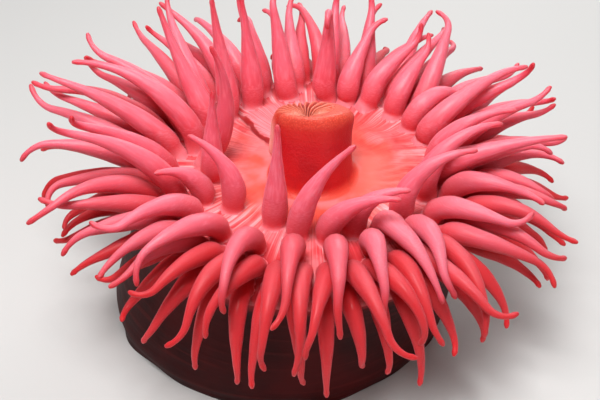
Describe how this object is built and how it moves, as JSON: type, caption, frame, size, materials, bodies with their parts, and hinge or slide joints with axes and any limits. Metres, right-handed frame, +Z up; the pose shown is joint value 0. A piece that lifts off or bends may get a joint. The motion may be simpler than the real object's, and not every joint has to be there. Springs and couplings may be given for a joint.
{
  "type": "sea anemone",
  "caption": "Still, life-size sea anemone standing open on its pedal disc: broad dark column, flat oral disc with a raised mouth, and a full crown of tapering rose tentacles.",
  "frame": {"origin": "centre of the flat underside of the pedal disc", "axes": "+Z up towards the mouth, -Y towards the front that the tentacles hang over, +X to the right as seen from the front"},
  "size_m": [0.2004, 0.1899, 0.1099],
  "materials": {
    "column": "smooth, moist maroon skin with faint wrinkles",
    "disc": "moist orange-pink skin with pale rays",
    "mouth": "moist red flesh, finely pleated and grained",
    "tentacle": "translucent rose flesh, soft wet sheen"
  },
  "bodies": {
    "root": {"pedal_disc": "column", "column_lower": "column", "column_upper": "column", "oral_disc": "disc", "mouth": "mouth", "tentacle_01": "tentacle", "tentacle_02": "tentacle", "tentacle_03": "tentacle", "tentacle_04": "tentacle", "tentacle_05": "tentacle", "tentacle_06": "tentacle", "tentacle_07": "tentacle", "tentacle_08": "tentacle", "tentacle_09": "tentacle", "tentacle_10": "tentacle", "tentacle_11": "tentacle", "tentacle_12": "tentacle", "tentacle_13": "tentacle", "tentacle_14": "tentacle", "tentacle_15": "tentacle", "tentacle_16": "tentacle", "tentacle_17": "tentacle", "tentacle_18": "tentacle", "tentacle_19": "tentacle", "tentacle_20": "tentacle", "tentacle_21": "tentacle", "tentacle_22": "tentacle", "tentacle_23": "tentacle", "tentacle_24": "tentacle", "crown_01": "tentacle", "crown_02": "tentacle", "crown_03": "tentacle", "crown_04": "tentacle", "crown_05": "tentacle", "crown_06": "tentacle", "crown_07": "tentacle", "crown_08": "tentacle", "crown_09": "tentacle", "crown_10": "tentacle", "crown_11": "tentacle", "crown_12": "tentacle", "crown_13": "tentacle", "crown_14": "tentacle", "crown_15": "tentacle", "crown_16": "tentacle", "crown_17": "tentacle", "crown_18": "tentacle", "crown_19": "tentacle", "crown_20": "tentacle", "crown_21": "tentacle", "crown_22": "tentacle", "crown_23": "tentacle", "crown_24": "tentacle"}
  },
  "joints": []
}
